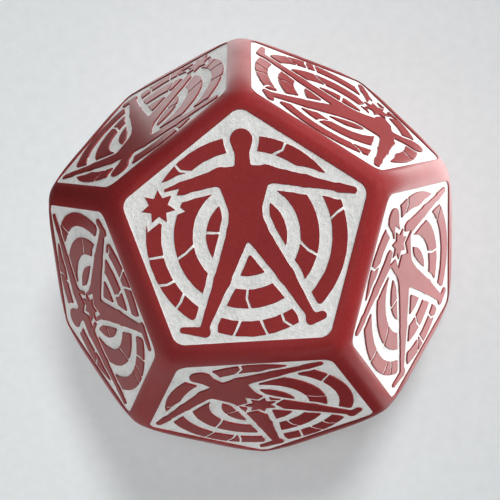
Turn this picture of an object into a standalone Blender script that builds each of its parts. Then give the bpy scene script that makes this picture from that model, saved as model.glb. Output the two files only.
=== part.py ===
"""A twelve-sided body-location die, resting on one face.

The body is one moulded dodecahedron with rounded edges. Each face has a shallow pocket,
in which a human figure, the rings of a target and a star are left standing flush with the
face. The star marks one place on the figure, a different one on each face. A web of paint
fills each pocket round that relief.

The origin is the centre of the resting face, with +Z up.
"""

import math

import bmesh
import bpy
import numpy as np
from mathutils import Matrix, Vector
from mathutils.geometry import delaunay_2d_cdt

# Driving dimensions, in metres
ACROSS_FLATS = 0.020
EDGE_RADIUS = 0.0011
CORNER_BALL_RADIUS = 0.0121  # of the ball that rounds off the twenty corners
ENGRAVING_DEPTH = 0.00040
PAINT_BELOW_FACE = 0.00012
PAINT_CLEARANCE = 0.00003
POCKET_APOTHEM = 0.00538

# The artwork of a face, in shares of the pocket's apothem
POCKET_CORNER_RADIUS = 0.13
RIM_MARGIN = 0.035
FIGURE_MARGIN = 0.050
BULLSEYE_RADIUS = 0.385
RINGS = ((0.51, 0.69), (0.81, 0.955))
STAR_POINTS = 7
STAR_RADII = (0.165, 0.092)  # tips and waists
CLEARING_RADII = (0.255, 0.145)  # of the star-shaped clearing round the star
LIMB_BLEND = 0.035

# Bones of the figure, each a tapered capsule from (x, y, radius) to (x, y, radius)
TRUNK_BONES = (
    ((0.000, 0.918, 0.107), (0.000, 0.878, 0.094)),  # head
    ((0.000, 0.850, 0.068), (0.000, 0.640, 0.076)),  # neck
    ((-0.210, 0.572, 0.088), (0.210, 0.572, 0.088)),  # shoulders
    ((-0.115, 0.520, 0.125), (-0.040, 0.240, 0.110)),  # ribs
    ((0.115, 0.520, 0.125), (0.040, 0.240, 0.110)),
    ((-0.040, 0.240, 0.110), (-0.065, 0.050, 0.112)),  # hips
    ((0.040, 0.240, 0.110), (0.080, 0.050, 0.112)),
)
ARM_BONES = (
    ((0.220, 0.574, 0.082), (0.580, 0.487, 0.058)),  # upper arm
    ((0.580, 0.487, 0.058), (0.880, 0.408, 0.036)),  # forearm
    ((0.910, 0.400, 0.046), (1.035, 0.370, 0.034)),  # hand
)
LEG_BONES = (
    ((-0.075, 0.030, 0.110), (-0.255, -0.410, 0.076)),  # thigh
    ((-0.255, -0.410, 0.076), (-0.435, -0.820, 0.043)),  # shin
    ((-0.440, -0.890, 0.050), (-0.650, -0.860, 0.030)),  # foot
    ((0.090, 0.030, 0.112), (0.355, -0.400, 0.074)),
    ((0.355, -0.400, 0.074), (0.555, -0.770, 0.041)),
    ((0.560, -0.830, 0.048), (0.670, -0.790, 0.042)),
)

# Star places on the figure: (x, y), x positive to the right of a viewer
STAR_PLACES = {
    "head": (0.00, 0.93),
    "neck": (0.00, 0.57),
    "chest": (0.00, 0.33),
    "groin": (0.02, 0.00),
    "left_arm": (-0.52, 0.52),
    "right_arm": (0.52, 0.52),
    "left_hand": (-0.82, 0.32),
    "right_hand": (0.82, 0.32),
    "left_knee": (-0.25, -0.40),
    "right_knee": (0.34, -0.40),
    "left_foot": (-0.39, -0.80),
    "right_foot": (0.50, -0.75),
}

# Faces: star place, polar angle row, azimuth in degrees, corner that the head points to
TOP, UPPER, LOWER, BOTTOM = "top", "upper", "lower", "bottom"
FACES = (
    ("left_hand", TOP, 0, 0),
    ("left_arm", UPPER, 54, 3),
    ("left_foot", UPPER, 126, 0),
    ("chest", UPPER, 198, 2),
    ("groin", UPPER, 270, 4),
    ("neck", UPPER, 342, 0),
    ("left_knee", LOWER, 18, 1),
    ("head", LOWER, 90, 3),
    ("right_knee", LOWER, 162, 0),
    ("right_arm", LOWER, 234, 2),
    ("right_foot", LOWER, 306, 4),
    ("right_hand", BOTTOM, 0, 0),
)

# How finely the outlines are drawn, in metres
TRACING_STEP = 0.00005
OUTLINE_TOLERANCE = 0.00007
SHORTEST_EDGE = 0.00016
SMALLEST_ISLAND = 0.0000004  # square metres
EDGE_SEGMENTS = 3
SHARP_EDGE = math.radians(25)  # edges turning by more than this are shown sharp
SAME_PLANE = math.radians(1)

INRADIUS = ACROSS_FLATS / 2
FACE_TILT = math.acos(1 / math.sqrt(5))
CORNER_STEP = math.radians(72)
MILLIMETRE = 0.001


# ---- artwork as distance fields, negative inside a shape -------------------------------

def tapered_capsule(x, y, start, end):
    """Distance to the outline that wraps two circles, each given as (x, y, radius)."""
    ax, ay, a_radius = start
    bx, by, b_radius = end
    length = math.hypot(bx - ax, by - ay)
    ux, uy = (bx - ax) / length, (by - ay) / length
    along = (x - ax) * ux + (y - ay) * uy
    across = np.abs((y - ay) * ux - (x - ax) * uy)
    lean = (a_radius - b_radius) / length
    flank = math.sqrt(1 - lean * lean)
    position = flank * along - lean * across
    distance = flank * across + lean * along - a_radius
    distance = np.where(position < 0, np.hypot(along, across) - a_radius, distance)
    past_end = position > flank * length
    return np.where(past_end, np.hypot(along - length, across) - b_radius, distance)


def blended_union(first, second, blend):
    """Union of two fields with a soft fillet where they meet."""
    overlap = np.maximum(blend - np.abs(first - second), 0) / blend
    return np.minimum(first, second) - overlap * overlap * blend / 4


def polygon_field(x, y, corners):
    """Distance to a closed polygon."""
    nearest = np.full(x.shape, np.inf)
    inside = np.zeros(x.shape, bool)
    for (ax, ay), (bx, by) in zip(corners, corners[1:] + corners[:1]):
        ex, ey = bx - ax, by - ay
        share = ((x - ax) * ex + (y - ay) * ey) / (ex * ex + ey * ey)
        share = np.clip(share, 0, 1)
        nearest = np.minimum(nearest, np.hypot(x - ax - share * ex, y - ay - share * ey))
        if ay != by:
            crosses = (ay > y) != (by > y)
            inside ^= crosses & (x < ax + (y - ay) * ex / ey)
    return np.where(inside, -nearest, nearest)


def regular_corners(count, radius, turn=math.pi / 2):
    """Corners of a regular polygon, the first one straight up."""
    angles = [turn + 2 * math.pi * i / count for i in range(count)]
    return [(radius * math.cos(a), radius * math.sin(a)) for a in angles]


def star_corners(centre, radii):
    """Outline of a star, tips and waists in turn."""
    tips = regular_corners(STAR_POINTS, radii[0])
    waists = regular_corners(STAR_POINTS, radii[1], math.pi / 2 + math.pi / STAR_POINTS)
    points = [point for pair in zip(tips, waists) for point in pair]
    return [(centre[0] + px, centre[1] + py) for px, py in points]


def pocket_field(x, y):
    """The pocket: a pentagon with rounded corners."""
    core = (1 - POCKET_CORNER_RADIUS) / math.cos(CORNER_STEP / 2)
    return polygon_field(x, y, regular_corners(5, core)) - POCKET_CORNER_RADIUS


def figure_field(x, y):
    """The human figure: arms out to the sides, legs apart."""
    bones = [tapered_capsule(x, y, *bone) for bone in TRUNK_BONES + LEG_BONES]
    bones += [tapered_capsule(np.abs(x), y, *bone) for bone in ARM_BONES]
    field = bones[0]
    for bone in bones[1:]:
        field = blended_union(field, bone, LIMB_BLEND)
    return field


def target_field(x, y):
    """The bullseye and the rings round it."""
    radius = np.hypot(x, y)
    field = radius - BULLSEYE_RADIUS
    for inner, outer in RINGS:
        field = np.minimum(field, np.maximum(inner - radius, radius - outer))
    return field


def recess_field(x, y, place):
    """What is cut away: the pocket without the figure, the rings and the star."""
    pocket = pocket_field(x, y)
    figure = figure_field(x, y)
    star = polygon_field(x, y, star_corners(STAR_PLACES[place], STAR_RADII))
    clearing = polygon_field(x, y, star_corners(STAR_PLACES[place], CLEARING_RADII))
    target = np.maximum(target_field(x, y), FIGURE_MARGIN - figure)
    target = np.maximum(target, pocket + RIM_MARGIN)
    relief = np.maximum(np.minimum(figure, target), -clearing)
    relief = np.minimum(relief, star)
    return np.maximum(pocket, -relief)


# ---- outlines ---------------------------------------------------------------------------

def trace_outlines(field, axis):
    """Closed loops along which the field on a square grid is zero, inside on their left."""
    inside = field < 0
    bits = inside[:-1, :-1] * 1 + inside[:-1, 1:] * 2 + inside[1:, 1:] * 4 + inside[1:, :-1] * 8
    # Cell sides: 0 bottom, 1 right, 2 top, 3 left; each case lists (from side, to side)
    steps = {
        1: ((0, 3),), 2: ((1, 0),), 3: ((1, 3),), 4: ((2, 1),), 5: ((0, 3), (2, 1)),
        6: ((2, 0),), 7: ((2, 3),), 8: ((3, 2),), 9: ((0, 2),), 10: ((1, 0), (3, 2)),
        11: ((1, 2),), 12: ((3, 1),), 13: ((0, 1),), 14: ((3, 0),),
    }

    def crossing(row, column, side):
        """Key of the grid edge that a loop crosses: its row, column and direction."""
        return {
            0: (row, column, 0), 1: (row, column + 1, 1),
            2: (row + 1, column, 0), 3: (row, column, 1),
        }[side]

    following = {}
    for row, column in zip(*np.nonzero((bits > 0) & (bits < 15))):
        for start, end in steps[bits[row, column]]:
            following[crossing(row, column, start)] = crossing(row, column, end)

    def position(key):
        """Where the field passes through zero on that grid edge."""
        row, column, upright = key
        low = field[row, column]
        high = field[row + 1, column] if upright else field[row, column + 1]
        share = low / (low - high)
        x = axis[column] if upright else axis[column] + share * (axis[column + 1] - axis[column])
        y = axis[row] + share * (axis[row + 1] - axis[row]) if upright else axis[row]
        return x, y

    loops = []
    while following:
        key = next(iter(following))
        loop = []
        while key in following:
            loop.append(position(key))
            key = following.pop(key)
        loops.append(np.array(loop))
    return loops


def thin_out(points, tolerance):
    """Keep the points of an open line that it needs to stay within the tolerance."""
    chord = points[-1] - points[0]
    reach = points[1:-1] - points[0]
    distance = np.abs(chord[0] * reach[:, 1] - chord[1] * reach[:, 0]) / np.hypot(*chord)
    if len(distance) == 0 or distance.max() <= tolerance:
        return [points[0], points[-1]]
    middle = int(distance.argmax()) + 1
    return thin_out(points[: middle + 1], tolerance)[:-1] + thin_out(points[middle:], tolerance)


def simplify_loop(loop, tolerance, shortest):
    """A closed loop with only the points that its shape needs."""
    far = int(np.hypot(*(loop - loop[0]).T).argmax())
    near = int(np.hypot(*(loop - loop[far]).T).argmax())
    loop = np.roll(loop, -near, axis=0)
    far = (far - near) % len(loop)
    points = thin_out(loop[: far + 1], tolerance)[:-1]
    points += thin_out(np.vstack((loop[far:], loop[:1])), tolerance)[:-1]
    kept = [points[0]]
    for point in points[1:]:
        if np.hypot(*(point - kept[-1])) > shortest:
            kept.append(point)
    if np.hypot(*(kept[-1] - kept[0])) < shortest:
        kept.pop()
    return np.array(kept)


def loop_area(loop):
    """Area inside a closed loop, negative if it runs clockwise."""
    after = np.roll(loop, -1, axis=0)
    return (loop[:, 0] * after[:, 1] - loop[:, 1] * after[:, 0]).sum() / 2


def inset_loop(loop, distance):
    """Move each side of a loop towards its left by the distance."""
    ahead = np.roll(loop, -1, axis=0) - loop
    ahead /= np.hypot(*ahead.T)[:, None]
    left = np.stack((-ahead[:, 1], ahead[:, 0]), axis=1)
    before = np.roll(left, 1, axis=0)
    agreement = 1 + (left * before).sum(axis=1)
    return loop + distance * (left + before) / agreement[:, None]


def face_outlines(place):
    """Outlines of the recess of one face, in metres."""
    reach = POCKET_APOTHEM / math.cos(CORNER_STEP / 2)
    count = int(2 * reach / TRACING_STEP)
    axis = np.linspace(-reach, reach, count)
    x, y = np.meshgrid(axis / POCKET_APOTHEM, axis / POCKET_APOTHEM)
    field = recess_field(x, y, place)
    loops = [loop for loop in trace_outlines(field, axis) if abs(loop_area(loop)) > SMALLEST_ISLAND]
    return [simplify_loop(loop, OUTLINE_TOLERANCE, SHORTEST_EDGE) for loop in loops]


def inside_loop(loop, points):
    """Which of the points a closed loop goes round."""
    after = np.roll(loop, -1, axis=0)
    x, y = points[:, :1], points[:, 1:]
    crosses = (loop[:, 1] > y) != (after[:, 1] > y)
    rise = np.where(loop[:, 1] == after[:, 1], 1, after[:, 1] - loop[:, 1])
    where = loop[:, 0] + (y - loop[:, 1]) * (after[:, 0] - loop[:, 0]) / rise
    return (crosses & (x < where)).sum(axis=1) % 2 == 1


def triangulate(loops):
    """Triangles inside nested loops: points, and triangles by how many loops hold them."""
    sides, start = [], 0
    for loop in loops:
        count = len(loop)
        sides += [(start + i, start + (i + 1) % count) for i in range(count)]
        start += count
    scaled = [Vector(point) / MILLIMETRE for loop in loops for point in loop]
    found = delaunay_2d_cdt(scaled, sides, [], 1, 1e-6)
    points = np.array(found[0]) * MILLIMETRE
    triangles = [tuple(corners) for corners in found[2]]
    middles = points[np.array(triangles)].mean(axis=1)
    holders = sum(inside_loop(loop, middles).astype(int) for loop in loops)
    return points, list(zip(triangles, holders))


# ---- solids -----------------------------------------------------------------------------

def face_matrix(row, azimuth, corner):
    """Frame of a face: +Y towards the figure's head, +Z out of the die."""
    tilt = {TOP: 0, UPPER: FACE_TILT, LOWER: math.pi - FACE_TILT, BOTTOM: math.pi}[row]
    turn = math.radians(azimuth)
    level = math.sin(tilt)
    outward = Vector((level * math.cos(turn), level * math.sin(turn), math.cos(tilt)))
    uphill = Vector((0, 0, 1)) if row in (UPPER, LOWER) else Vector((0, outward.z, 0))
    uphill = (uphill - outward * uphill.dot(outward)).normalized()
    first_corner = CORNER_STEP / 2 if row == UPPER else 0
    head = Matrix.Rotation(-first_corner - corner * CORNER_STEP, 3, outward) @ uphill
    frame = Matrix((head.cross(outward), head, outward)).transposed().to_4x4()
    frame.translation = outward * INRADIUS + Vector((0, 0, INRADIUS))
    return frame


def rounded_dodecahedron():
    """The blank die, with edges and corners rounded and its twelve faces still whole."""
    mesh = bmesh.new()
    near_pole = ((3 - math.sqrt(5)) * INRADIUS, INRADIUS)
    near_waist = ((math.sqrt(5) - 1) * INRADIUS, (math.sqrt(5) - 2) * INRADIUS)
    for side in (1, -1):
        for corner in range(5):
            turn = side * math.pi / 2 + corner * CORNER_STEP
            for radius, height in (near_pole, near_waist):
                x, y = radius * math.cos(turn), radius * math.sin(turn)
                mesh.verts.new((x, y, INRADIUS + side * height))
    bmesh.ops.convex_hull(mesh, input=mesh.verts)
    bmesh.ops.dissolve_limit(mesh, angle_limit=SAME_PLANE, verts=mesh.verts, edges=mesh.edges)
    bmesh.ops.recalc_face_normals(mesh, faces=mesh.faces)
    flat_cut = EDGE_RADIUS * math.tan(FACE_TILT / 2)
    bmesh.ops.bevel(
        mesh, geom=mesh.edges[:], offset=flat_cut, offset_type="OFFSET",
        segments=EDGE_SEGMENTS, profile=0.5, affect="EDGES",
    )
    middle = Vector((0, 0, INRADIUS))
    for vert in mesh.verts:
        arm = vert.co - middle
        vert.co = middle + arm * min(1, CORNER_BALL_RADIUS / arm.length)
    return mesh


def engrave(mesh, frame, outlines):
    """Cut the pocket of one face into the blank, leaving the relief standing."""
    outward = frame.col[2].to_3d()
    blank = max(mesh.faces, key=lambda face: face.normal.dot(outward) * face.calc_area())
    to_face = frame.inverted()
    rim = list(blank.verts)
    border = np.array([(to_face @ vert.co).xy for vert in rim])
    bmesh.ops.delete(mesh, geom=[blank], context="FACES_ONLY")
    points, triangles = triangulate([border] + outlines)

    top, floor = dict(enumerate(rim)), {}
    for corners, holders in triangles:
        level, height = (top, 0) if holders % 2 else (floor, -ENGRAVING_DEPTH)
        for index in corners:
            if index not in level:
                level[index] = mesh.verts.new(frame @ Vector((*points[index], height)))
        mesh.faces.new([level[index] for index in corners])
    for start, end in shared_sides(triangles):
        mesh.faces.new((top[end], top[start], floor[start], floor[end]))


def shared_sides(triangles):
    """Sides that relief triangles share with recess triangles, as the relief runs them."""
    sides = ({}, {})
    for corners, holders in triangles:
        for start, end in zip(corners, corners[1:] + corners[:1]):
            sides[holders % 2][start, end] = True
    return [(start, end) for start, end in sides[1] if (end, start) in sides[0]]


def paint_web(outlines):
    """The paint in one pocket, in the frame of its face."""
    loops = [inset_loop(loop, PAINT_CLEARANCE) for loop in outlines]
    points, triangles = triangulate(loops)
    web = [corners for corners, holders in triangles if holders % 2]
    mesh = bmesh.new()
    upper, lower = {}, {}
    for index in sorted({index for corners in web for index in corners}):
        upper[index] = mesh.verts.new((*points[index], -PAINT_BELOW_FACE))
        lower[index] = mesh.verts.new((*points[index], PAINT_CLEARANCE - ENGRAVING_DEPTH))
    sides = set()
    for corners in web:
        mesh.faces.new([upper[index] for index in corners])
        mesh.faces.new([lower[index] for index in reversed(corners)])
        sides.update(zip(corners, corners[1:] + corners[:1]))
    for start, end in sides:
        if (end, start) not in sides:
            mesh.faces.new((upper[end], upper[start], lower[start], lower[end]))
    return mesh


def add_object(name, mesh, material):
    """Turn a bmesh into an object of the scene."""
    data = bpy.data.meshes.new(name)
    mesh.to_mesh(data)
    mesh.free()
    data.materials.append(material)
    data.shade_smooth()
    data.set_sharp_from_angle(angle=SHARP_EDGE)
    piece = bpy.data.objects.new(name, data)
    bpy.context.collection.objects.link(piece)
    return piece


def plain_material(name, colour, roughness):
    material = bpy.data.materials.new(name)
    material.use_nodes = True
    shader = material.node_tree.nodes["Principled BSDF"]
    shader.inputs["Base Color"].default_value = (*colour, 1)
    shader.inputs["Roughness"].default_value = roughness
    shader.inputs["Metallic"].default_value = 0
    return material


def build_die():
    for leftover in list(bpy.data.objects):
        bpy.data.objects.remove(leftover, do_unlink=True)

    red_plastic = plain_material("red_plastic", (0.235, 0.028, 0.031), 0.38)
    body_mesh = rounded_dodecahedron()
    webs = []
    for place, row, azimuth, corner in FACES:
        frame = face_matrix(row, azimuth, corner)
        outlines = face_outlines(place)
        engrave(body_mesh, frame, outlines)
        webs.append((place, frame, paint_web(outlines)))
    body = add_object("die_body", body_mesh, red_plastic)

    for place, frame, mesh in webs:
        paint = plain_material("paint_" + place, (0.68, 0.69, 0.67), 0.75)
        web = add_object("paint_" + place, mesh, paint)
        web.parent = body
        web.matrix_basis = frame


build_die()
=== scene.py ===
"""Looks of the twelve-sided body-location die: fine surfaces, materials, light and camera."""

import math
import random

import bmesh
import bpy
import numpy as np
from mathutils import Matrix, Vector, noise
from mathutils.geometry import delaunay_2d_cdt


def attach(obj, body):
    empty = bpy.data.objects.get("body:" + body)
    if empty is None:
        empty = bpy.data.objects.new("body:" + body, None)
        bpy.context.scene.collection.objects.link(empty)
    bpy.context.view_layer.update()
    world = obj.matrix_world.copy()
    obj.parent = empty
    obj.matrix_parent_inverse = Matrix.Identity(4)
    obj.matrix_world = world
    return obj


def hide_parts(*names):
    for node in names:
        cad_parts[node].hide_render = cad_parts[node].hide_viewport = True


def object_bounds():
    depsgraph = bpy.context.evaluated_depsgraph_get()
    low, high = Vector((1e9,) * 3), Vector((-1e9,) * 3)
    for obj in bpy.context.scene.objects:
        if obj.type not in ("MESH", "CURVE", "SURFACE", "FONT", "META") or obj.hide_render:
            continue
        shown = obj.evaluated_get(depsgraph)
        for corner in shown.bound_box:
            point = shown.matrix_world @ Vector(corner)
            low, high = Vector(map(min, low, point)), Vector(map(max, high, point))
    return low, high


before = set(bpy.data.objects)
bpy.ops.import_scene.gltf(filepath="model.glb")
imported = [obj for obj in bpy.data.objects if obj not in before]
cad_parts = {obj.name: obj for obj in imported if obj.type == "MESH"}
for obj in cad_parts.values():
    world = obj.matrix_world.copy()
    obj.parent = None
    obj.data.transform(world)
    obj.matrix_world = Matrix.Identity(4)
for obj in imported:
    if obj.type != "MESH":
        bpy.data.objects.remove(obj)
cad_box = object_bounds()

# The die, in metres. The height comes from the frame. The rest follows the design of the CAD,
# apart from slightly sharper corners, wider gaps in the artwork and fuller paint.
INRADIUS = (cad_box[1][2] - cad_box[0][2]) / 2
EDGE_RADIUS = 0.0011
CORNER_BALL_RADIUS = 0.01220  # of the ball that rounds off the twenty corners
CORNER_BLEND = 0.0006
ENGRAVING_DEPTH = 0.00040
POCKET_APOTHEM = 0.00538
CORNERS = 5  # of a face
CORNER_STEP = math.radians(360 / CORNERS)
FACE_TILT = math.acos(1 / math.sqrt(5))  # between the outward directions of two neighbours
REACH = POCKET_APOTHEM / math.cos(CORNER_STEP / 2)

# Finish of the moulding and the paint, in metres
OUTLINE_WAVER = 0.000017  # how far the outlines stray either way
WAVER_SIZE = 0.00075
WAVE_COUNT = 6
WAVE_TURN = 2.4  # radians from one wave to the next
WAVE_PITCHES = (0.7, 0.6, 0.618)  # shortest, spread, and step through the spread
WAVE_SWAY = 3
RIM_ROUNDING = 0.000035  # of every upper edge of the engraving
RIM_STEPS = 3
WALL_DRAFT = 0.00002  # how far the foot of a wall stands out from its top
CORNER_ROUNDING = 0.00004  # of the corners in plan
HAIRLINE_WIDTH = 0.00012
HAIRLINE_FILL = 0.000050  # how much fuller the paint stands in the hairlines
HAIRLINE_MOUTH = 0.00006  # length over which it rises to that
PAINT_BOTTOM = 0.00039
PAINT_RIPPLE = 0.000010
RIPPLE_SIZE = 0.00035
RIPPLE_SPACING = 0.00014  # between the points that carry the ripple
RIPPLE_JITTER = 0.4  # of the spacing, either way
RIPPLE_MARGIN = RIPPLE_SPACING / 4  # between those points and the creeping edge
RIPPLE_SEED_STEP = 7.3

# How the paint creeps up the walls: distance into the plastic and depth below the face
PAINT_CREEP = (
    (0.000012, 0.000088),
    (-0.000012, 0.000094),
    (-0.000035, 0.000100),
)
PAINT_DEPTH = 0.000107  # away from the walls

# The artwork of a face, in shares of the pocket's apothem
POCKET_CORNER_RADIUS = 0.13
RIM_MARGIN = 0.035
FIGURE_MARGIN = 0.064
BULLSEYE_RADIUS = 0.385
RINGS = ((0.51, 0.69), (0.81, 0.955))
STAR_POINTS = 7
STAR_RADII = (0.165, 0.092)  # tips and waists
CLEARING_RADII = (0.262, 0.152)  # of the star-shaped clearing round the star
LIMB_BLEND = 0.035
LIMB_END = 0.75  # a star further out than this replaces the end of the limb

# Bones of the figure, each a tapered capsule from (x, y, radius) to (x, y, radius)
TRUNK_BONES = (
    ((0.000, 0.918, 0.107), (0.000, 0.878, 0.094)),  # head
    ((0.000, 0.850, 0.068), (0.000, 0.640, 0.076)),  # neck
    ((-0.210, 0.572, 0.088), (0.210, 0.572, 0.088)),  # shoulders
    ((-0.115, 0.520, 0.125), (-0.040, 0.240, 0.110)),  # ribs
    ((0.115, 0.520, 0.125), (0.040, 0.240, 0.110)),
    ((-0.040, 0.240, 0.110), (-0.065, 0.050, 0.112)),  # hips
    ((0.040, 0.240, 0.110), (0.080, 0.050, 0.112)),
)
ARM_BONES = (
    ((0.220, 0.574, 0.082), (0.580, 0.487, 0.058)),  # upper arm
    ((0.580, 0.487, 0.058), (0.880, 0.408, 0.036)),  # forearm
    ((0.910, 0.400, 0.046), (1.035, 0.370, 0.034)),  # hand
)
LEG_BONES = (
    ((-0.075, 0.030, 0.110), (-0.255, -0.410, 0.076)),  # thigh
    ((-0.255, -0.410, 0.076), (-0.435, -0.820, 0.043)),  # shin
    ((-0.440, -0.890, 0.050), (-0.650, -0.860, 0.030)),  # foot
    ((0.090, 0.030, 0.112), (0.355, -0.400, 0.074)),
    ((0.355, -0.400, 0.074), (0.555, -0.770, 0.041)),
    ((0.560, -0.830, 0.048), (0.670, -0.790, 0.042)),
)

# Hairline breaks across the target: inner radius, outer radius, degrees at both, bend in degrees
HAIRLINES = (
    (0.15, 0.385, 176, 173, -3),
    (0.51, 0.69, 186, 196, 2),
    (0.51, 0.69, 268, 270, -2),
    (0.51, 0.69, 352, 341, -3),
    (0.81, 0.955, 7, 13, 1),
    (0.81, 0.955, 70, 64, -3),
    (0.81, 0.955, 127, 132, 3),
    (0.81, 0.955, 191, 190, 0),
    (0.81, 0.955, 209, 206, 1),
    (0.81, 0.955, 219, 223, 1),
    (0.81, 0.955, 263, 259, 0),
    (0.81, 0.955, 276, 279, 0),
    (0.81, 0.955, 291, 294, -2),
)
HAIRLINE_WANDER = 7  # degrees either way, from face to face
HAIRLINE_OVERSHOOT = 0.02  # past both edges of a ring

# Star places on the figure: (x, y), x positive to the right of a viewer
STAR_PLACES = {
    "head": (0.00, 0.93),
    "neck": (0.00, 0.57),
    "chest": (0.00, 0.33),
    "groin": (0.02, 0.00),
    "left_arm": (-0.52, 0.52),
    "right_arm": (0.52, 0.52),
    "left_hand": (-0.82, 0.32),
    "right_hand": (0.82, 0.32),
    "left_knee": (-0.25, -0.40),
    "right_knee": (0.34, -0.40),
    "left_foot": (-0.39, -0.80),
    "right_foot": (0.50, -0.75),
}

# Faces: star place, polar angle row, azimuth in degrees, corner that the head points to
TOP, UPPER, LOWER, BOTTOM = "top", "upper", "lower", "bottom"
FACES = (
    ("left_hand", TOP, 0, 0),
    ("left_arm", UPPER, 54, 3),
    ("left_foot", UPPER, 126, 0),
    ("chest", UPPER, 198, 2),
    ("groin", UPPER, 270, 4),
    ("neck", UPPER, 342, 0),
    ("left_knee", LOWER, 18, 1),
    ("head", LOWER, 90, 3),
    ("right_knee", LOWER, 162, 0),
    ("right_arm", LOWER, 234, 2),
    ("right_foot", LOWER, 306, 4),
    ("right_hand", BOTTOM, 0, 0),
)

# How finely the surfaces are drawn, in metres
TRACING_STEP = 0.000025
OUTLINE_TOLERANCE = 0.0000016
SMALLEST_ISLAND = 0.00000005  # square metres
EDGE_SEGMENTS = 10
EDGE_CUTS = 11  # along each edge
EDGE_PROFILE = 0.5  # round
ROUNDING_PASSES = 6
WELD_DISTANCE = 0.00000001
# Name of the mask of the painted shade on the engraving's walls, kept in the mesh
WALL_SHADE_MASK = "wall"
FACES_AT_A_CORNER = 3

# Guards of the geometry against rounding
TRIANGULATION_UNIT = 0.001  # metres
TRIANGULATION_MERGE = 1e-7  # in that unit
TINY_LENGTH = 1e-12
TINY_NORMAL = 1e-18
TINY_WEIGHT = 1e-9
SAME_DIRECTION = 1 - 1e-6
SAME_PLANE = math.radians(1)

# Shades from dark to light: position on the ramp, linear colour
# For the plastic the lowest stop is painted shade: only the steep walls of the engraving pull
# the ramp below 0.4
PLASTIC_TONES_AND_PAINTED_SHADE = (
    (0.0, (0.110, 0.0060, 0.0070)),
    (0.4, (0.205, 0.0145, 0.0155)),
    (0.7, (0.255, 0.0200, 0.0210)),
    (1.0, (0.305, 0.0255, 0.0265)),
)
PAINT_SHADES = (
    (0.15, (0.665, 0.680, 0.660)),
    (0.50, (0.790, 0.797, 0.777)),
    (0.85, (0.865, 0.868, 0.855)),
)
PAPER_SHADES = (
    (0.0, (0.832, 0.869, 0.879)),
    (1.0, (0.884, 0.921, 0.931)),
)

NOISE_RANGE = (0.3, 0.7)  # between which nearly all of a noise texture lies

# Plastic: sizes of its textures and height of its relief in metres, then what they range over
PLASTIC_CLOUD = 0.0030
PLASTIC_SPECK = 0.00011
PLASTIC_RUB = 0.0009
PLASTIC_GRAIN = 0.00009
PLASTIC_WAVE = 0.0012
PLASTIC_RELIEF = 0.0000035
CLOUD_SHADES = (0.40, 0.64)
SPECK_SHADES = (0, 0.36)
# Painted shade: how far the walls' steepness pulls the plastic's ramp down
WALL_PAINTED_SHADE = (0, -0.6)
GRAIN_SHARE = 0.25  # of the grain in the relief, beside the wave
PLASTIC_ROUGHNESS = (0.32, 0.38)
PLASTIC_SHINE = 0.5

# Paint, likewise
PAINT_CLOUD = 0.0011
PAINT_FLECK = 0.00016
PAINT_RUB = 0.0005
PAINT_GRAIN = 0.00022
PAINT_RELIEF = 0.000055
PATCH_SHADES = (0, 0.5)  # of the clouds and of the flecks, which add up
PAINT_ROUGHNESS = (0.62, 0.80)
PAINT_SHINE = 0.35

# Studio paper, likewise
PAPER_CLOUD = 0.030
PAPER_FLECK = 0.0007
PAPER_GRAIN = 0.0004
PAPER_RELIEF = 0.000004
PAPER_CLOUD_SHADES = (0, 0.3)
PAPER_FLECK_SHADES = (0, 0.7)
PAPER_ROUGHNESS = 0.9
PAPER_SHINE = 0.1

# The studio, in metres, watts and degrees; azimuths run from +X
FLOOR_SIZE = 3.0
BACKDROP_RADIUS = 1.5
BACKDROP_RINGS = 24
BACKDROP_COLOUR = (0.67, 0.69, 0.71)
AIR_COLOUR = (0.94, 0.97, 1.0)
AIR_BRIGHTNESS = 0.10
CAMERA_PLACE = (0.00207, -0.00519, 0.08829)
CAMERA_TURN = (3.62, 1.84, -3.31)
CAMERA_LENS = 97  # millimetres, as is the sensor
CAMERA_SENSOR = 36
CAMERA_CLIP = (0.001, 5)

# Softboxes that light only the die
LIGHT_DISTANCE = 0.30
LIGHT_SIZE = 0.18
LIGHT_SPREAD = 70
LIGHTS = (  # name, azimuth, elevation, power
    ("key_front", 16, 18, 0.165),
    ("key_back", 54, 20, 0.135),
    ("left", 198, 30, 0.053),
    ("front", 270, 30, 0.057),
)

# Light that only the floor gets: even washes and a soft pool round the die
WASHES = (  # name, azimuth, elevation, softness, brightness
    ("wash_back", 70, 60, 14, 1.15),
    ("wash_left", 180, 60, 40, 0.20),
)
POOL_PLACE = (-0.008, -0.002, 0.250)
POOL_ANGLE = 26
POOL_SIZE = 0.05
POOL_POWER = 1.5

# Cards that only the shine of the surfaces shows: a ring round the die and one above it
CARDS = (  # name, from azimuth, to azimuth, brightness
    ("right", -36, 0, 2.6),
    ("key", 0, 36, 3.9),
    ("gap", 36, 72, 0.3),
    ("back", 72, 126, 1.8),
    ("black_back", 126, 180, 0),
    ("left", 180, 216, 0.45),
    ("front_left", 216, 270, 0.25),
    ("black_front", 270, 306, 0),
    ("front", 306, 324, 0.8),
)
CARD_RADIUS = 0.019
CARD_HEIGHT = 0.0128
BLACK_CARD_HEIGHT = 0.030  # of the cards without brightness, which hide the far floor
CARD_LEAN = 10  # towards the die
CARD_LIFT = 0.0002  # off the floor
CARD_STEP = 9  # degrees between the bends of a card
OVERHEAD_SIZE = 0.11
OVERHEAD_HEIGHT = 0.10
OVERHEAD_BRIGHTNESS = 0.43


# ---- artwork as distance fields, negative inside a shape -------------------------------

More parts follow.
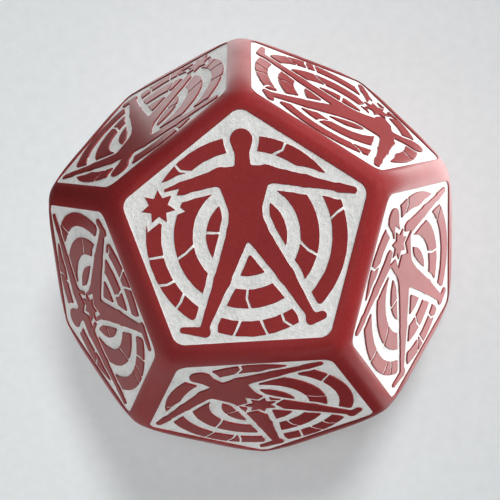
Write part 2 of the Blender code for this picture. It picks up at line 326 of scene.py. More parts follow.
def tapered_capsule(x, y, start, end):
    """Distance to the outline that wraps two circles, each given as (x, y, radius)."""
    ax, ay, a_radius = start
    bx, by, b_radius = end
    length = math.hypot(bx - ax, by - ay)
    ux, uy = (bx - ax) / length, (by - ay) / length
    along = (x - ax) * ux + (y - ay) * uy
    across = np.abs((y - ay) * ux - (x - ax) * uy)
    lean = (a_radius - b_radius) / length
    flank = math.sqrt(1 - lean * lean)
    position = flank * along - lean * across
    distance = flank * across + lean * along - a_radius
    distance = np.where(position < 0, np.hypot(along, across) - a_radius, distance)
    past_end = position > flank * length
    return np.where(past_end, np.hypot(along - length, across) - b_radius, distance)


def blended_union(first, second, blend):
    """Union of two fields with a parabolic fillet where they meet."""
    overlap = np.maximum(blend - np.abs(first - second), 0) / blend
    return np.minimum(first, second) - overlap * overlap * blend / 4


def rounded_cut(first, second):
    """What lies in both fields, with its corners rounded."""
    radius = CORNER_ROUNDING / POCKET_APOTHEM
    over = np.hypot(np.maximum(first + radius, 0), np.maximum(second + radius, 0))
    return np.minimum(-radius, np.maximum(first, second)) + over


def polygon_field(x, y, corners):
    """Distance to a closed polygon."""
    nearest = np.full(x.shape, np.inf)
    inside = np.zeros(x.shape, bool)
    for (ax, ay), (bx, by) in zip(corners, corners[1:] + corners[:1]):
        ex, ey = bx - ax, by - ay
        share = ((x - ax) * ex + (y - ay) * ey) / (ex * ex + ey * ey)
        share = np.clip(share, 0, 1)
        nearest = np.minimum(nearest, np.hypot(x - ax - share * ex, y - ay - share * ey))
        if ay != by:
            crosses = (ay > y) != (by > y)
            inside ^= crosses & (x < ax + (y - ay) * ex / ey)
    return np.where(inside, -nearest, nearest)


def regular_corners(count, radius, turn=math.pi / 2):
    """Corners of a regular polygon, the first one straight up unless a turn is given."""
    angles = [turn + 2 * math.pi * i / count for i in range(count)]
    return [(radius * math.cos(a), radius * math.sin(a)) for a in angles]


def star_corners(centre, radii):
    """Outline of a star, tips and waists in turn."""
    tips = regular_corners(STAR_POINTS, radii[0])
    waists = regular_corners(STAR_POINTS, radii[1], math.pi / 2 + math.pi / STAR_POINTS)
    points = [point for pair in zip(tips, waists) for point in pair]
    return [(centre[0] + px, centre[1] + py) for px, py in points]


def pocket_field(x, y):
    """The pocket: a pentagon with rounded corners."""
    core = (1 - POCKET_CORNER_RADIUS) / math.cos(CORNER_STEP / 2)
    return polygon_field(x, y, regular_corners(CORNERS, core)) - POCKET_CORNER_RADIUS


def figure_field(x, y):
    """The human figure: arms out to the sides, legs apart."""
    bones = [tapered_capsule(x, y, *bone) for bone in TRUNK_BONES + LEG_BONES]
    bones += [tapered_capsule(np.abs(x), y, *bone) for bone in ARM_BONES]
    field = bones[0]
    for bone in bones[1:]:
        field = blended_union(field, bone, LIMB_BLEND)
    return field


def target_field(x, y):
    """The bullseye and the rings round it."""
    radius = np.hypot(x, y)
    field = radius - BULLSEYE_RADIUS
    for inner, outer in RINGS:
        field = np.minimum(field, np.maximum(inner - radius, radius - outer))
    return field


def hairline_field(x, y, seed):
    """The breaks across the target, which wander a little on every face but the first."""
    chance = random.Random(seed)
    field = np.full(x.shape, np.inf)
    half_width = HAIRLINE_WIDTH / 2 / POCKET_APOTHEM
    for inner, outer, from_angle, to_angle, bend in HAIRLINES:
        wander = chance.uniform(-HAIRLINE_WANDER, HAIRLINE_WANDER) * (seed > 0)
        bends = (
            (inner - HAIRLINE_OVERSHOOT, from_angle),
            ((inner + outer) / 2, (from_angle + to_angle) / 2 + bend),
            (outer + HAIRLINE_OVERSHOOT, to_angle),
        )
        spots = []
        for radius, angle in bends:
            turn = math.radians(angle + wander)
            spots.append((radius * math.cos(turn), radius * math.sin(turn), half_width))
        for start, end in zip(spots, spots[1:]):
            field = np.minimum(field, tapered_capsule(x, y, start, end))
    return field


def smooth_waves(x, y, size):
    """Gentle waves between -1 and 1 that do not repeat across a face."""
    waves = np.zeros(x.shape)
    shortest, spread, step = WAVE_PITCHES
    for number in range(WAVE_COUNT):
        turn = number * WAVE_TURN
        pitch = size * (shortest + spread * (number * step % 1))
        along = x * math.cos(turn) + y * math.sin(turn)
        across = y * math.cos(turn) - x * math.sin(turn)
        sway = WAVE_SWAY * np.sin(across / pitch)
        waves += np.sin(2 * math.pi * along / pitch + sway + number)
    return waves / WAVE_COUNT


class Artwork:
    """The fields that all faces share, sampled once on a square grid."""

    def __init__(self):
        self.count = int(2 * REACH / TRACING_STEP)
        self.axis = np.linspace(-REACH, REACH, self.count)
        self.x, self.y = np.meshgrid(self.axis / POCKET_APOTHEM, self.axis / POCKET_APOTHEM)
        self.pocket = pocket_field(self.x, self.y)
        self.figure = figure_field(self.x, self.y)
        target = rounded_cut(target_field(self.x, self.y), FIGURE_MARGIN - self.figure)
        self.target = rounded_cut(target, self.pocket + RIM_MARGIN)
        self.waver = smooth_waves(self.x, self.y, WAVER_SIZE / POCKET_APOTHEM)

    def recess(self, place, seed):
        """Distance into the plastic, in metres, with the hairlines cut and without them.

        It is negative where the face is cut away.
        """
        centre = STAR_PLACES[place]
        star = polygon_field(self.x, self.y, star_corners(centre, STAR_RADII))
        clearing = polygon_field(self.x, self.y, star_corners(centre, CLEARING_RADII))
        figure = self.figure
        reach = math.hypot(*centre)
        if reach > LIMB_END:
            beyond = (self.x * centre[0] + self.y * centre[1]) / reach - reach
            figure = np.maximum(figure, beyond)
        cracked = rounded_cut(self.target, -hairline_field(self.x, self.y, seed))
        waver = np.roll(self.waver, seed * self.count // len(FACES), axis=seed % 2)
        fields = []
        for target in (cracked, self.target):
            relief = rounded_cut(np.minimum(figure, target), -clearing)
            relief = np.minimum(relief, star)
            wall = waver * OUTLINE_WAVER - relief * POCKET_APOTHEM
            fields.append(np.maximum(self.pocket * POCKET_APOTHEM, wall))
        return fields

    def sample(self, field, points):
        """The field at any points, read between its grid points."""
        place = (points + REACH) / (2 * REACH) * (self.count - 1)
        low = np.clip(place.astype(int), 0, self.count - 2)
        share = place - low
        column, row = low[:, 0], low[:, 1]
        across, up = share[:, 0], share[:, 1]
        bottom = field[row, column] * (1 - across) + field[row, column + 1] * across
        top = field[row + 1, column] * (1 - across) + field[row + 1, column + 1] * across
        return bottom * (1 - up) + top * up


# ---- outlines ---------------------------------------------------------------------------

def trace_outlines(field, axis):
    """Closed loops along which the field on a square grid is zero, inside on their left."""
    inside = field < 0
    # Which corners of a cell lie inside: 1, 2, 4 and 8, anticlockwise from the bottom left
    bits = inside[:-1, :-1] * 1 + inside[:-1, 1:] * 2 + inside[1:, 1:] * 4 + inside[1:, :-1] * 8
    # Cell sides: 0 bottom, 1 right, 2 top, 3 left; each case lists (from side, to side)
    steps = {
        1: ((0, 3),), 2: ((1, 0),), 3: ((1, 3),), 4: ((2, 1),), 5: ((0, 3), (2, 1)),
        6: ((2, 0),), 7: ((2, 3),), 8: ((3, 2),), 9: ((0, 2),), 10: ((1, 0), (3, 2)),
        11: ((1, 2),), 12: ((3, 1),), 13: ((0, 1),), 14: ((3, 0),),
    }
    # Where the grid edge on each side of a cell starts, and whether it is upright
    edges = ((0, 0, 0), (0, 1, 1), (1, 0, 0), (0, 0, 1))
    following = {}
    for row, column in zip(*(found.tolist() for found in np.nonzero((bits > 0) & (bits < 15)))):
        for start, end in steps[int(bits[row, column])]:
            up, right, upright = edges[start]
            key = (row + up, column + right, upright)
            up, right, upright = edges[end]
            following[key] = (row + up, column + right, upright)

    def position(key):
        """Where the field passes through zero on that grid edge."""
        row, column, upright = key
        low = field[row, column]
        high = field[row + 1, column] if upright else field[row, column + 1]
        share = low / (low - high)
        if upright:
            return axis[column], axis[row] + share * (axis[row + 1] - axis[row])
        return axis[column] + share * (axis[column + 1] - axis[column]), axis[row]

    loops = []
    while following:
        key = next(iter(following))
        loop = []
        while key in following:
            loop.append(position(key))
            key = following.pop(key)
        loops.append(np.array(loop))
    return loops


def loop_area(loop):
    """Area inside a closed loop, negative if it runs clockwise."""
    after = np.roll(loop, -1, axis=0)
    return (loop[:, 0] * after[:, 1] - loop[:, 1] * after[:, 0]).sum() / 2


def thin_out(points, tolerance):
    """Keep the points of an open line that it needs to stay within the tolerance."""
    kept = [0]
    waiting = [(0, len(points) - 1)]
    while waiting:
        first, last = waiting.pop()
        chord = points[last] - points[first]
        reach = points[first + 1 : last] - points[first]
        length = max(np.hypot(*chord), TINY_LENGTH)
        distance = np.abs(chord[0] * reach[:, 1] - chord[1] * reach[:, 0]) / length
        if len(distance) == 0 or distance.max() <= tolerance:
            kept.append(last)
            continue
        middle = first + 1 + int(distance.argmax())
        waiting += [(middle, last), (first, middle)]
    return points[kept]


def simplify_loop(loop, tolerance):
    """A closed loop with only the points that its shape needs."""
    far = int(np.hypot(*(loop - loop[0]).T).argmax())
    loop = np.roll(loop, -far, axis=0)
    far = int(np.hypot(*(loop - loop[0]).T).argmax())
    first = thin_out(loop[: far + 1], tolerance)
    second = thin_out(np.vstack((loop[far:], loop[:1])), tolerance)
    return np.vstack((first[:-1], second[:-1]))


def contours(artwork, field, distance):
    """Outlines of the recess, moved by the distance into the plastic."""
    loops = trace_outlines(field - distance, artwork.axis)
    loops = [loop for loop in loops if abs(loop_area(loop)) > SMALLEST_ISLAND]
    return [simplify_loop(loop, OUTLINE_TOLERANCE) for loop in loops]


def triangulate(loops, loose=()):
    """Triangles between loops and loose points.

    It returns the points, the number of the input behind each (-1 if none), and the triangles.
    """
    sides, start = [], 0
    for loop in loops:
        count = len(loop)
        sides += [(start + i, start + (i + 1) % count) for i in range(count)]
        start += count
    inputs = [Vector(point) / TRIANGULATION_UNIT for loop in loops for point in loop]
    inputs += [Vector(point) / TRIANGULATION_UNIT for point in loose]
    found = delaunay_2d_cdt(inputs, sides, [], 1, TRIANGULATION_MERGE)
    points, _, triangles, sources = found[:4]
    origins = [listed[0] if listed else -1 for listed in sources]
    return np.array(points) * TRIANGULATION_UNIT, origins, np.array(triangles)


# ---- solids -----------------------------------------------------------------------------

def face_matrix(row, azimuth, corner):
    """Frame of a face: +Y towards the figure's head, +Z out of the die."""
    tilt = {TOP: 0, UPPER: FACE_TILT, LOWER: math.pi - FACE_TILT, BOTTOM: math.pi}[row]
    turn = math.radians(azimuth)
    level = math.sin(tilt)
    outward = Vector((level * math.cos(turn), level * math.sin(turn), math.cos(tilt)))
    uphill = Vector((0, 0, 1)) if row in (UPPER, LOWER) else Vector((0, outward.z, 0))
    uphill = (uphill - outward * uphill.dot(outward)).normalized()
    first_corner = CORNER_STEP / 2 if row == UPPER else 0
    head = Matrix.Rotation(-first_corner - corner * CORNER_STEP, 3, outward) @ uphill
    face = Matrix((head.cross(outward), head, outward)).transposed().to_4x4()
    face.translation = outward * INRADIUS + Vector((0, 0, INRADIUS))
    return face


def rounded_dodecahedron():
    """The blank die, with its edges rounded and its twelve faces still whole."""
    mesh = bmesh.new()
    # Radius and height of the corners, from the die's axis and its middle
    near_pole = ((3 - math.sqrt(5)) * INRADIUS, INRADIUS)
    near_waist = ((math.sqrt(5) - 1) * INRADIUS, (math.sqrt(5) - 2) * INRADIUS)
    for side in (1, -1):
        for corner in range(CORNERS):
            turn = side * math.pi / 2 + corner * CORNER_STEP
            for radius, height in (near_pole, near_waist):
                x, y = radius * math.cos(turn), radius * math.sin(turn)
                mesh.verts.new((x, y, INRADIUS + side * height))
    bmesh.ops.convex_hull(mesh, input=mesh.verts)
    bmesh.ops.dissolve_limit(mesh, angle_limit=SAME_PLANE, verts=mesh.verts, edges=mesh.edges)
    bmesh.ops.recalc_face_normals(mesh, faces=mesh.faces)
    flat_cut = EDGE_RADIUS * math.tan(FACE_TILT / 2)
    bmesh.ops.bevel(
        mesh, geom=mesh.edges[:], offset=flat_cut, offset_type="OFFSET",
        segments=EDGE_SEGMENTS, profile=EDGE_PROFILE, affect="EDGES",
    )
    return mesh


class Surface:
    """Points, normals and triangles of a piece as it grows."""

    def __init__(self):
        self.points, self.normals, self.triangles, self.wall_shade_mask = [], [], [], []
        self.count = 0

    def add(self, points, normals, triangles, wall_shade_mask=0.0):
        """Add a patch, its triangles counting from its own first point.

        The wall shade mask is the steepness: 1 on the walls of the engraving and 0 away from
        them, where the plastic is painted darker as shade.
        """
        self.points.append(points)
        self.normals.append(normals)
        self.triangles.append(np.asarray(triangles) + self.count)
        self.wall_shade_mask.append(np.broadcast_to(wall_shade_mask, len(points)))
        self.count += len(points)

    def make_object(self, name, node, material):
        """The finished piece, which stands for a node of the frame."""
        points = np.vstack(self.points)
        normals = np.vstack(self.normals)
        spots = np.round(points / WELD_DISTANCE).astype(int)
        _, first, merged = np.unique(spots, axis=0, return_index=True, return_inverse=True)
        triangles = first[merged.reshape(-1)][np.vstack(self.triangles)]
        used, numbers = np.unique(triangles, return_inverse=True)
        data = bpy.data.meshes.new(name)
        data.from_pydata(points[used].tolist(), [], numbers.reshape(-1, 3).tolist())
        data.materials.append(material)
        data.shade_smooth()
        data.normals_split_custom_set_from_vertices(normals[used].tolist())
        # The mask of the painted shade on the walls, read by the plastic's material
        wall = data.attributes.new(WALL_SHADE_MASK, "FLOAT", "POINT")
        wall.data.foreach_set("value", np.concatenate(self.wall_shade_mask)[used])
        piece = bpy.data.objects.new(name, data)
        bpy.data.collections["die"].objects.link(piece)
        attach(piece, "root")
        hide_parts(node)


def face_normals():
    """Outward directions of the twelve faces."""
    return np.array([face_matrix(*face[1:]).col[2].to_3d() for face in FACES])


def rounded_depth(centred, outward):
    """Distance from the rounded die's surface, negative inside, and the way out of it."""
    excess = outward @ centred - (INRADIUS - EDGE_RADIUS)
    active = np.argsort(-excess)[:FACES_AT_A_CORNER]
    weights = np.linalg.solve(outward[active] @ outward[active].T, excess[active])
    while weights.min() < -TINY_WEIGHT:
        active = active[weights >= -TINY_WEIGHT]
        weights = np.linalg.solve(outward[active] @ outward[active].T, excess[active])
    offset = weights @ outward[active]
    from_edges = np.linalg.norm(offset) - EDGE_RADIUS
    from_ball = np.linalg.norm(centred) - CORNER_BALL_RADIUS
    overlap = max(CORNER_BLEND - abs(from_edges - from_ball), 0) / CORNER_BLEND
    ball_share = min(max(0.5 + (from_ball - from_edges) / CORNER_BLEND / 2, 0), 1)
    way_out = offset / np.linalg.norm(offset) * (1 - ball_share)
    way_out = way_out + centred / np.linalg.norm(centred) * ball_share
    depth = max(from_edges, from_ball) + overlap * overlap * CORNER_BLEND / 4
    return depth, way_out / np.linalg.norm(way_out)


def round_over(point, outward):
    """The nearest spot of the rounded die to a point beside it, and the normal there."""
    middle = np.array((0, 0, INRADIUS))
    spot = point - middle
    for _ in range(ROUNDING_PASSES):
        depth, way_out = rounded_depth(spot, outward)
        spot = spot - way_out * depth
    return spot + middle, way_out


def rounded_edges(surface):
    """Add the rounding of all edges and return the borders of the twelve flats left open."""
    mesh = rounded_dodecahedron()
    long_sides = [edge for edge in mesh.edges if edge.calc_length() > EDGE_RADIUS]
    bmesh.ops.subdivide_edges(mesh, edges=long_sides, cuts=EDGE_CUTS, use_grid_fill=True)
    outward = face_normals()
    flats = {}
    for face in mesh.faces:
        alike = outward @ np.array(face.normal)
        if alike.max() > SAME_DIRECTION and face.calc_area() > EDGE_RADIUS**2:
            flats[int(alike.argmax())] = face
    spots = [round_over(np.array(vert.co), outward) for vert in mesh.verts]
    points = np.array([spot[0] for spot in spots])
    normals = np.array([spot[1] for spot in spots])
    corners = [[vert.index for vert in flats[number].verts] for number in range(len(FACES))]
    borders = [(points[listed], normals[listed]) for listed in corners]
    bmesh.ops.delete(mesh, geom=list(flats.values()), context="FACES_ONLY")
    bmesh.ops.triangulate(mesh, faces=mesh.faces)
    triangles = [[vert.index for vert in face.verts] for face in mesh.faces]
    mesh.free()
    surface.add(points, normals, triangles)
    return borders


def uphill(artwork, field, points):
    """Unit direction in which the field rises."""
    steps = np.array(((TRACING_STEP, 0), (0, TRACING_STEP)))
    rise = [artwork.sample(field, points + s) - artwork.sample(field, points - s) for s in steps]
    rise = np.stack(rise, axis=1)
    return rise / np.maximum(np.hypot(*rise.T), TINY_LENGTH)[:, None]


def from_face(face, flat, heights):
    """Points drawn in the plane of a face, placed on the die."""
    turn = np.array(face.to_3x3())
    return np.column_stack((flat, heights)) @ turn.T + np.array(face.translation)


def wall_levels():
    """Foot of a wall and steps of its rounded edge: distance into the plastic, depth, lean."""
    levels = [(-WALL_DRAFT, ENGRAVING_DEPTH, math.pi / 2)]
    for step in range(RIM_STEPS + 1):
        lean = math.pi / 2 * (1 - step / RIM_STEPS)
        distance = RIM_ROUNDING * (1 - math.sin(lean))
        levels.append((distance, RIM_ROUNDING * (1 - math.cos(lean)), lean))
    return levels


def engrave(surface, artwork, field, face, border):
    """Add one face of the body, from the flat's border down into the pocket."""
    levels = wall_levels()
    turn = np.array(face.to_3x3())
    border_points, border_normals = border
    flat_border = (border_points - np.array(face.translation)) @ turn[:, :2]
    loops, level_of = [flat_border], [len(levels) - 1] * len(flat_border)
    for number, (distance, _, _) in enumerate(levels):
        for loop in contours(artwork, field, distance):
            loops.append(loop)
            level_of += [number] * len(loop)
    points, origins, triangles = triangulate(loops)
    gaps = np.abs(artwork.sample(field, points)[:, None] - [level[0] for level in levels])
    known = np.array([level_of[origin] if origin >= 0 else -1 for origin in origins])
    level = np.where(known >= 0, known, gaps.argmin(axis=1))
    depth = np.array([each[1] for each in levels])[level]
    lean = np.array([each[2] for each in levels])[level]
    slope = uphill(artwork, field, points)
    normals = np.column_stack((-slope * np.sin(lean)[:, None], np.cos(lean))) @ turn.T
    solid = from_face(face, points, -depth)
    for index, origin in enumerate(origins):
        if 0 <= origin < len(border_points):
            solid[index], normals[index] = border_points[origin], border_normals[origin]
    # Steepness of each point, kept as the mask of the painted wall shade
    surface.add(solid, normals, triangles, lean / (math.pi / 2))


def rippled_paint(artwork, field, seed):
    """Loose points on the paint away from the walls, and its depth at each."""
    spread = np.random.default_rng(seed)
    axis = np.arange(-REACH, REACH, RIPPLE_SPACING)
    loose = np.stack(np.meshgrid(axis, axis), axis=-1).reshape(-1, 2)
    loose += spread.uniform(-RIPPLE_JITTER, RIPPLE_JITTER, loose.shape) * RIPPLE_SPACING
    loose = loose[artwork.sample(field, loose) < PAINT_CREEP[-1][0] - RIPPLE_MARGIN]
    layer = seed * RIPPLE_SEED_STEP
    ripples = [noise.noise(Vector((x / RIPPLE_SIZE, y / RIPPLE_SIZE, layer))) for x, y in loose]
    return loose, [PAINT_DEPTH + PAINT_RIPPLE * ripple for ripple in ripples]


def paint_top(artwork, field, uncracked, seed):
    """The top of the paint of one pocket, creeping up the walls: points, depths, triangles."""
    loops, depths = [], []
    for distance, depth in PAINT_CREEP:
        for loop in contours(artwork, field, distance):
            loops.append(loop)
            depths += [depth] * len(loop)
    loose, rippled = rippled_paint(artwork, field, seed)
    depths += rippled
    points, origins, triangles = triangulate(loops, loose)
    gaps = np.abs(artwork.sample(field, points)[:, None] - [each[0] for each in PAINT_CREEP])
    creep = np.array([each[1] for each in PAINT_CREEP])[gaps.argmin(axis=1)]
    depth = np.array([
        depths[origin] if origin >= 0 else guess for origin, guess in zip(origins, creep)
    ])
    into_hairline = artwork.sample(uncracked, points) / HAIRLINE_MOUTH
    depth -= HAIRLINE_FILL * np.clip(into_hairline, 0, 1)
    middles = artwork.sample(field, points[triangles].mean(axis=1))
    return points, depth, triangles[middles < PAINT_CREEP[0][0]]


def point_normals(points, triangles):
    """The direction out of a surface at each of its points."""
    corner = points[triangles]
    across = np.cross(corner[:, 1] - corner[:, 0], corner[:, 2] - corner[:, 0])
    normals = np.zeros(points.shape)
    for column in range(3):
        np.add.at(normals, triangles[:, column], across)
    return normals / np.maximum(np.linalg.norm(normals, axis=1), TINY_NORMAL)[:, None]


def paint_web(surface, artwork, field, uncracked, face, seed):
    """Add the paint of one pocket: its top, its flat bottom and the skirt between them."""
    points, depth, web = paint_top(artwork, field, uncracked, seed)
    top = from_face(face, points, -depth)
    bottom = from_face(face, points, np.full(len(points), -PAINT_BOTTOM))
    below = np.tile(-np.array(face.col[2].to_3d()), (len(points), 1))

    sides = {(a, b) for tri in web.tolist() for a, b in zip(tri, tri[1:] + tri[:1])}
    rim = sorted((a, b) for a, b in sides if (b, a) not in sides)
    low = len(points)
    skirt = [tri for a, b in rim for tri in ((b, a, a + low), (b, a + low, b + low))]
    triangles = np.vstack((web, web[:, ::-1] + low, skirt))
    normals = np.vstack((point_normals(top, web), below))
    surface.add(np.vstack((top, bottom)), normals, triangles)


# ---- materials --------------------------------------------------------------------------

class Shader:
    """A material's node tree, with short ways to add what the surfaces need."""

    def __init__(self, name):
        self.material = bpy.data.materials.new(name)
        self.material.use_nodes = True
        self.nodes = self.material.node_tree.nodes
        self.principled = self.nodes["Principled BSDF"]
        self.place = self.nodes.new("ShaderNodeTexCoord").outputs["Object"]

    def link(self, output, socket):
        """Lead a node's output into a socket."""
        self.material.node_tree.links.new(output, socket)

    def noise(self, size, detail=2.0, roughness=0.5):
        """Noise with features of about the size, in metres."""
        node = self.nodes.new("ShaderNodeTexNoise")
        node.inputs["Scale"].default_value = 1 / size
        node.inputs["Detail"].default_value = detail
        node.inputs["Roughness"].default_value = roughness
        self.link(self.place, node.inputs["Vector"])
        return node.outputs["Fac"]

    def attribute(self, name):
        """A value that the mesh carries at each point."""
        node = self.nodes.new("ShaderNodeAttribute")
        node.attribute_name = name
        return node.outputs["Fac"]

    def span(self, value, low, high, to_low, to_high):
        """Map a value from one range onto another, and stop at its ends."""
        node = self.nodes.new("ShaderNodeMapRange")
        for socket, number in (
            ("From Min", low), ("From Max", high), ("To Min", to_low), ("To Max", to_high),
        ):
            node.inputs[socket].default_value = number
        self.link(value, node.inputs["Value"])
        return node.outputs["Result"]

    def stretched(self, texture, to_low, to_high):
        """Map the range of a noise texture onto another range."""
        return self.span(texture, *NOISE_RANGE, to_low, to_high)

    def ramp(self, value, stops):
        """Turn a value into a colour by (position, colour) stops."""
        node = self.nodes.new("ShaderNodeValToRGB")
        ramp = node.color_ramp
        while len(ramp.elements) < len(stops):
            ramp.elements.new(0.5)
        for element, (position, colour) in zip(ramp.elements, stops):
            element.position = position
            element.color = (*colour, 1)
        self.link(value, node.inputs["Fac"])
        return node.outputs["Color"]

    def total(self, first, second):
        """Sum of two values."""
        node = self.nodes.new("ShaderNodeMath")
        node.operation = "ADD"
        self.link(first, node.inputs[0])
        self.link(second, node.inputs[1])
        return node.outputs["Value"]

    def colour(self, output):
        """Let an output set the colour."""
        self.link(output, self.principled.inputs["Base Color"])

    def roughness(self, output):
        """Let an output set the roughness."""
        self.link(output, self.principled.inputs["Roughness"])

    def bump(self, height, distance):
        """Relief of the surface, the distance in metres at full height."""
        node = self.nodes.new("ShaderNodeBump")
        node.inputs["Distance"].default_value = distance
        self.link(height, node.inputs["Height"])
        self.link(node.outputs["Normal"], self.principled.inputs["Normal"])

    def set(self, **numbers):
        """Plain numbers for the shader's own sockets."""
        for socket, number in numbers.items():
            self.principled.inputs[socket.replace("_", " ")].default_value = number


def red_plastic():
    """Satin moulded plastic: faintly cloudy, finely grained, with shade painted darker on the
    engraved walls.
    """
    shader = Shader("red_plastic")
    cloud = shader.stretched(shader.noise(PLASTIC_CLOUD, detail=3), *CLOUD_SHADES)
    speck = shader.stretched(shader.noise(PLASTIC_SPECK), *SPECK_SHADES)
    # Painted shade: darker where the walls of the engraving are steep
    wall = shader.span(shader.attribute(WALL_SHADE_MASK), 0, 1, *WALL_PAINTED_SHADE)
    shade = shader.total(shader.total(cloud, speck), wall)
    shader.colour(shader.ramp(shade, PLASTIC_TONES_AND_PAINTED_SHADE))
    rub = shader.noise(PLASTIC_RUB, detail=4, roughness=0.6)
    shader.roughness(shader.stretched(rub, *PLASTIC_ROUGHNESS))
    shader.set(Specular_IOR_Level=PLASTIC_SHINE)
    grain = shader.span(shader.noise(PLASTIC_GRAIN), 0, 1, 0, GRAIN_SHARE)
    shader.bump(shader.total(grain, shader.noise(PLASTIC_WAVE)), PLASTIC_RELIEF)
    return shader.material


def white_paint():
    """Matt filling paint, chalky, with a grainy and slightly patchy surface."""
    shader = Shader("white_paint")
    clouds = shader.noise(PAINT_CLOUD, detail=4, roughness=0.6)
    flecks = shader.noise(PAINT_FLECK, detail=3, roughness=0.6)
    cloud = shader.stretched(clouds, *PATCH_SHADES)
    fleck = shader.stretched(flecks, *PATCH_SHADES)
    shader.colour(shader.ramp(shader.total(cloud, fleck), PAINT_SHADES))
    shader.roughness(shader.stretched(shader.noise(PAINT_RUB), *PAINT_ROUGHNESS))
    shader.set(Specular_IOR_Level=PAINT_SHINE)
    shader.bump(shader.noise(PAINT_GRAIN, detail=5, roughness=0.65), PAINT_RELIEF)
    return shader.material


def pale_floor():
    """The studio's seamless paper."""
    shader = Shader("studio_paper")
    cloud = shader.stretched(shader.noise(PAPER_CLOUD), *PAPER_CLOUD_SHADES)
    fleck = shader.stretched(shader.noise(PAPER_FLECK, detail=4), *PAPER_FLECK_SHADES)
    shader.colour(shader.ramp(shader.total(cloud, fleck), PAPER_SHADES))
    shader.set(Roughness=PAPER_ROUGHNESS, Specular_IOR_Level=PAPER_SHINE)
    shader.bump(shader.noise(PAPER_GRAIN, detail=3), PAPER_RELIEF)
    return shader.material


# ---- the studio -------------------------------------------------------------------------

def around(azimuth, radius, height):
    """A point round the die, the azimuth in degrees from +X."""
    turn = math.radians(azimuth)
    return Vector((radius * math.cos(turn), radius * math.sin(turn), height))


def add_light(name, kind, power, subject):
    """A light that shows neither itself nor its glint, and lights one collection."""
    data = bpy.data.lights.new(name, kind)
    data.energy = power
    light = bpy.data.objects.new(name, data)
    bpy.context.scene.collection.objects.link(light)
    light.light_linking.receiver_collection = bpy.data.collections[subject]
    light.visible_camera = light.visible_glossy = False
    return light


def aim_down(light, azimuth, elevation, distance):
    """Put a light round the die and turn it to the die's middle."""
    climb = math.radians(elevation)
    height = INRADIUS + distance * math.sin(climb)
    light.location = around(azimuth, distance * math.cos(climb), height)
    towards = Vector((0, 0, INRADIUS)) - light.location
    light.rotation_euler = towards.to_track_quat("-Z", "Y").to_euler()


def soft_light(name, azimuth, elevation, power):
    """A square softbox for the die, which casts no shadow into the shallow engraving."""
    light = add_light(name, "AREA", power, "die")
    light.data.shape = "SQUARE"
    light.data.size = LIGHT_SIZE
    light.data.spread = math.radians(LIGHT_SPREAD)
    light.data.use_shadow = False
    aim_down(light, azimuth, elevation, LIGHT_DISTANCE)


def light_floor():
    """Even washes over the whole floor, and a soft pool round the die."""
    for name, azimuth, elevation, softness, brightness in WASHES:
        wash = add_light(name, "SUN", brightness, "floor")
        wash.data.angle = math.radians(softness)
        aim_down(wash, azimuth, elevation, LIGHT_DISTANCE)
    pool = add_light("pool", "SPOT", POOL_POWER, "floor")
    pool.data.spot_size = math.radians(POOL_ANGLE)
    pool.data.spot_blend = 1
    pool.data.shadow_soft_size = POOL_SIZE
    pool.location = POOL_PLACE


def glowing(name, colour, brightness):
    """A material that only gives off light."""
    material = bpy.data.materials.new(name)
    material.use_nodes = True
    nodes = material.node_tree.nodes
    nodes.remove(nodes["Principled BSDF"])
    glow = nodes.new("ShaderNodeEmission")
    glow.inputs["Color"].default_value = (*colour, 1)
    glow.inputs["Strength"].default_value = brightness
    surface = nodes["Material Output"].inputs["Surface"]
    material.node_tree.links.new(glow.outputs["Emission"], surface)
    return material


def seen_only_by(thing, kind):
    """Hide a thing of the studio from all kinds of light path but one."""
    for other in ("camera", "diffuse", "glossy", "transmission", "volume_scatter", "shadow"):
        setattr(thing, "visible_" + other, other == kind)


def sheet(name, corners, faces, material, collection):
    """A thin sheet of the studio, from its corners and faces."""
    data = bpy.data.meshes.new(name)
    data.from_pydata(corners, [], faces)
    data.materials.append(material)
    thing = bpy.data.objects.new(name, data)
    collection.objects.link(thing)
    return thing


def level_square(name, size, height, material, collection):
    """A level sheet round the die's axis."""
    half = size / 2
    signs = ((-1, -1), (1, -1), (1, 1), (-1, 1))
    corners = [(x * half, y * half, height) for x, y in signs]
    return sheet(name, corners, [(0, 1, 2, 3)], material, collection)


def curved_card(name, start, end, brightness):
    """A card that curves round the die and leans towards it."""
    tall = CARD_HEIGHT if brightness else BLACK_CARD_HEIGHT
    lean = math.radians(CARD_LEAN)
    top_radius = CARD_RADIUS - tall * math.sin(lean)
    top_height = CARD_LIFT + tall * math.cos(lean)
    steps = (end - start) // CARD_STEP
    corners = []
    for step in range(steps + 1):
        azimuth = start + step * CARD_STEP
        corners.append(around(azimuth, CARD_RADIUS, CARD_LIFT))
        corners.append(around(azimuth, top_radius, top_height))
    faces = [(2 * step, 2 * step + 1, 2 * step + 3, 2 * step + 2) for step in range(steps)]
    material = glowing("card_" + name, (1, 1, 1), brightness)
    card = sheet("card_" + name, corners, faces, material, bpy.context.scene.collection)
    seen_only_by(card, "glossy")


def overhead_card():
    """A level card above the die, which veils the upward surfaces faintly."""
    material = glowing("card_above", (1, 1, 1), OVERHEAD_BRIGHTNESS)
    place = bpy.context.scene.collection
    card = level_square("card_above", OVERHEAD_SIZE, OVERHEAD_HEIGHT, material, place)
    seen_only_by(card, "glossy")


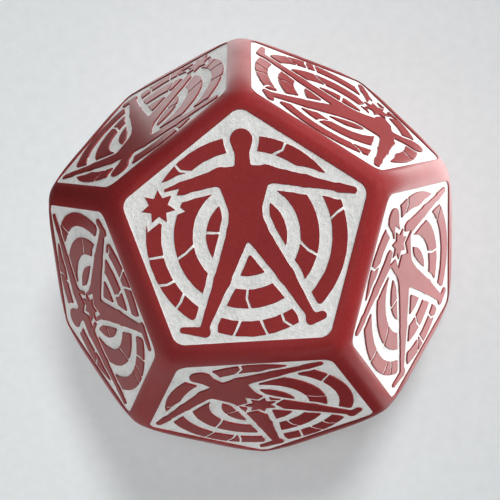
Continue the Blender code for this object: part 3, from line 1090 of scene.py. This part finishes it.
def build_backdrop():
    """A pale dome far behind everything, which lights nothing."""
    mesh = bmesh.new()
    bmesh.ops.create_uvsphere(
        mesh, u_segments=2 * BACKDROP_RINGS, v_segments=BACKDROP_RINGS, radius=BACKDROP_RADIUS
    )
    data = bpy.data.meshes.new("backdrop")
    mesh.to_mesh(data)
    mesh.free()
    data.materials.append(glowing("backdrop", BACKDROP_COLOUR, 1))
    backdrop = bpy.data.objects.new("backdrop", data)
    bpy.context.scene.collection.objects.link(backdrop)
    seen_only_by(backdrop, "camera")


def set_world():
    """The faint even light that comes from all sides."""
    world = bpy.data.worlds.new("studio_air")
    world.use_nodes = True
    background = world.node_tree.nodes["Background"]
    background.inputs["Color"].default_value = (*AIR_COLOUR, 1)
    background.inputs["Strength"].default_value = AIR_BRIGHTNESS
    bpy.context.scene.world = world


def place_camera():
    """The camera above the die, nearly square to its top face."""
    data = bpy.data.cameras.new("camera")
    data.lens = CAMERA_LENS
    data.sensor_width = CAMERA_SENSOR
    data.clip_start, data.clip_end = CAMERA_CLIP
    camera = bpy.data.objects.new("camera", data)
    bpy.context.scene.collection.objects.link(camera)
    camera.location = CAMERA_PLACE
    camera.rotation_euler = [math.radians(angle) for angle in CAMERA_TURN]
    bpy.context.scene.camera = camera


# ---- all together -----------------------------------------------------------------------

def build_die():
    """The fine body and the twelve webs of paint in it."""
    artwork = Artwork()
    body = Surface()
    borders = rounded_edges(body)
    paint = white_paint()
    for number, (place, row, azimuth, corner) in enumerate(FACES):
        face = face_matrix(row, azimuth, corner)
        field, uncracked = artwork.recess(place, number)
        engrave(body, artwork, field, face, borders[number])
        web = Surface()
        paint_web(web, artwork, field, uncracked, face, seed=number)
        web.make_object("fine_paint_" + place, "paint_" + place, paint)
    body.make_object("fine_body", "die_body", red_plastic())


# Two collections, so that each light can be kept to one of them
for name in ("die", "floor"):
    bpy.context.scene.collection.children.link(bpy.data.collections.new(name))
build_die()
level_square("floor", FLOOR_SIZE, 0, pale_floor(), bpy.data.collections["floor"])
light_floor()
build_backdrop()
set_world()
for light in LIGHTS:
    soft_light(*light)
for card in CARDS:
    curved_card(*card)
overhead_card()
place_camera()
bpy.context.scene.view_settings.view_transform = "Standard"
